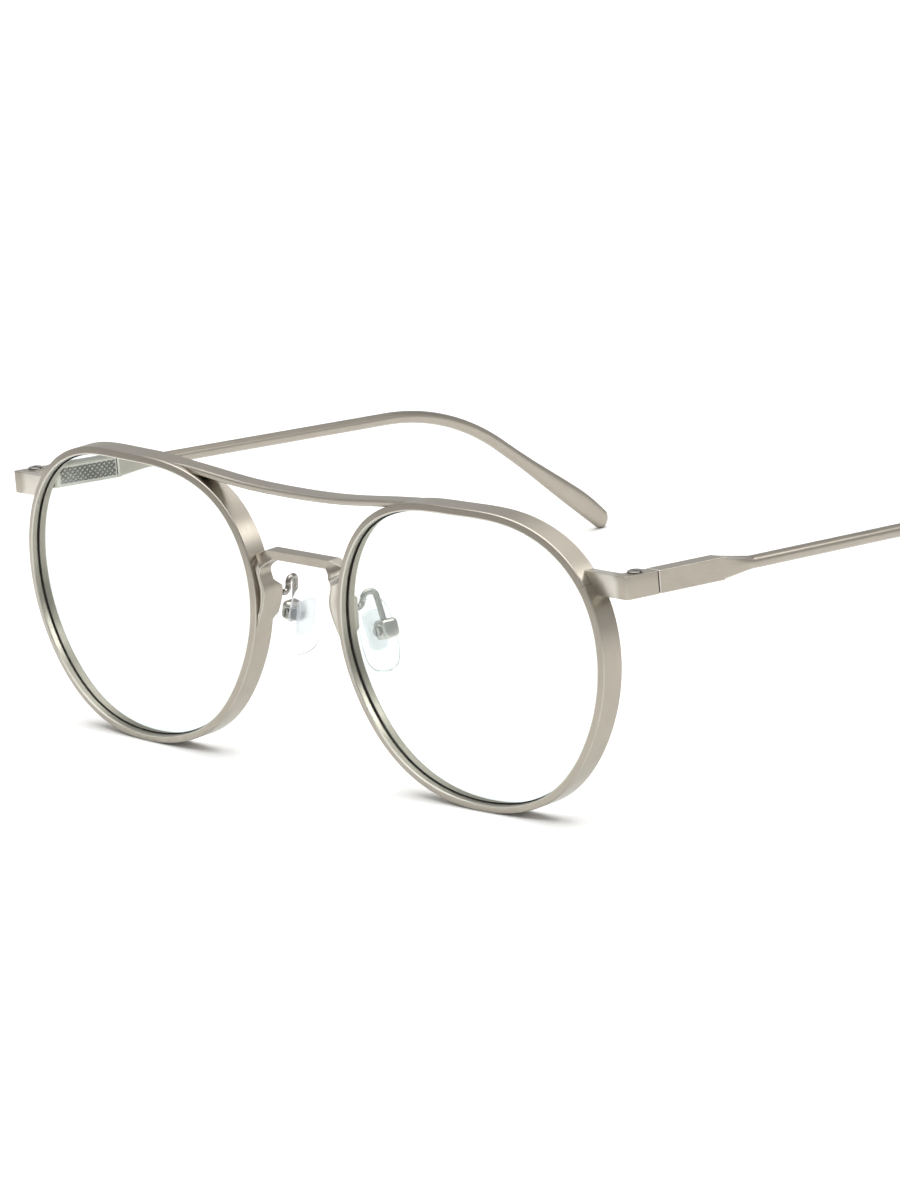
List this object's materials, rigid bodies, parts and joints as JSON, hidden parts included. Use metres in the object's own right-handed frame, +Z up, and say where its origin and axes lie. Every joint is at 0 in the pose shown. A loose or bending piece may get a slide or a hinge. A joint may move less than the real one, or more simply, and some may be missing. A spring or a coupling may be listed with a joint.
{
  "type": "eyeglasses",
  "caption": "Metal double bridge glasses with round full rims, clear lenses, adjustable nose pads and folding temples with flat bent tips.",
  "frame": {"origin": "middle of the underside of the object's box, on the table that the rims and tips stand on", "axes": "+X is the wearer's left, +Y runs back from the lenses along the open temples, +Z is up"},
  "size_m": [0.14, 0.14, 0.0484],
  "materials": {
    "frame_metal": "brushed, warm pewter grey",
    "inlay_metal": "diamond knurled",
    "wire_metal": "polished wire",
    "screw_steel": "polished",
    "lens_clear": "clear, polished, with a faint blue sheen",
    "pad_silicone": "clear moulded silicone",
    "stem_plastic": "clear moulded",
    "tip_plastic": "satin, slightly see-through, over a metal core",
    "washer_plastic": "plain"
  },
  "bodies": {
    "front": {"top_bar": "frame_metal", "bridge": "frame_metal", "rim_left": "frame_metal", "rim_right": "frame_metal", "lens_left": "lens_clear", "lens_right": "lens_clear", "end_piece_left": "frame_metal", "end_piece_right": "frame_metal", "lock_block_left": "frame_metal", "lock_block_right": "frame_metal", "lock_screw_left": "screw_steel", "lock_screw_right": "screw_steel", "hinge_screw_left": "screw_steel", "hinge_screw_right": "screw_steel", "hinge_washer_left": "washer_plastic", "hinge_washer_right": "washer_plastic", "pad_arm_left": "wire_metal", "pad_arm_right": "wire_metal", "pad_cup_left": "wire_metal", "pad_cup_right": "wire_metal", "pad_screw_left": "screw_steel", "pad_screw_right": "screw_steel"},
    "temple_arm_left": {"temple_left": "frame_metal", "temple_knuckle_left": "frame_metal", "temple_inlay_left": "inlay_metal", "temple_tip_left": "tip_plastic"},
    "temple_arm_right": {"temple_right": "frame_metal", "temple_knuckle_right": "frame_metal", "temple_inlay_right": "inlay_metal", "temple_tip_right": "tip_plastic"},
    "pad_rocker_left": {"nose_pad_left": "pad_silicone", "pad_stem_left": "stem_plastic"},
    "pad_rocker_right": {"nose_pad_right": "pad_silicone", "pad_stem_right": "stem_plastic"}
  },
  "joints": [
    {"name": "temple_left_hinge", "type": "hinge", "parent": "front", "child": "temple_arm_left", "pos_m": [0.06838, -0.06087, 0.0385], "axis": [0, 0, 1], "range_deg": [0, 86.5]},
    {"name": "temple_right_hinge", "type": "hinge", "parent": "front", "child": "temple_arm_right", "pos_m": [-0.06838, -0.06087, 0.0385], "axis": [0, 0, -1], "range_deg": [0, 83]},
    {"name": "pad_left_rock", "type": "hinge", "parent": "front", "child": "pad_rocker_left", "pos_m": [0.0108, -0.05863, 0.02327], "axis": [0, 1, 0], "range_deg": [-8, 8]},
    {"name": "pad_right_rock", "type": "hinge", "parent": "front", "child": "pad_rocker_right", "pos_m": [-0.0108, -0.05863, 0.02327], "axis": [0, -1, 0], "range_deg": [-8, 8]}
  ]
}
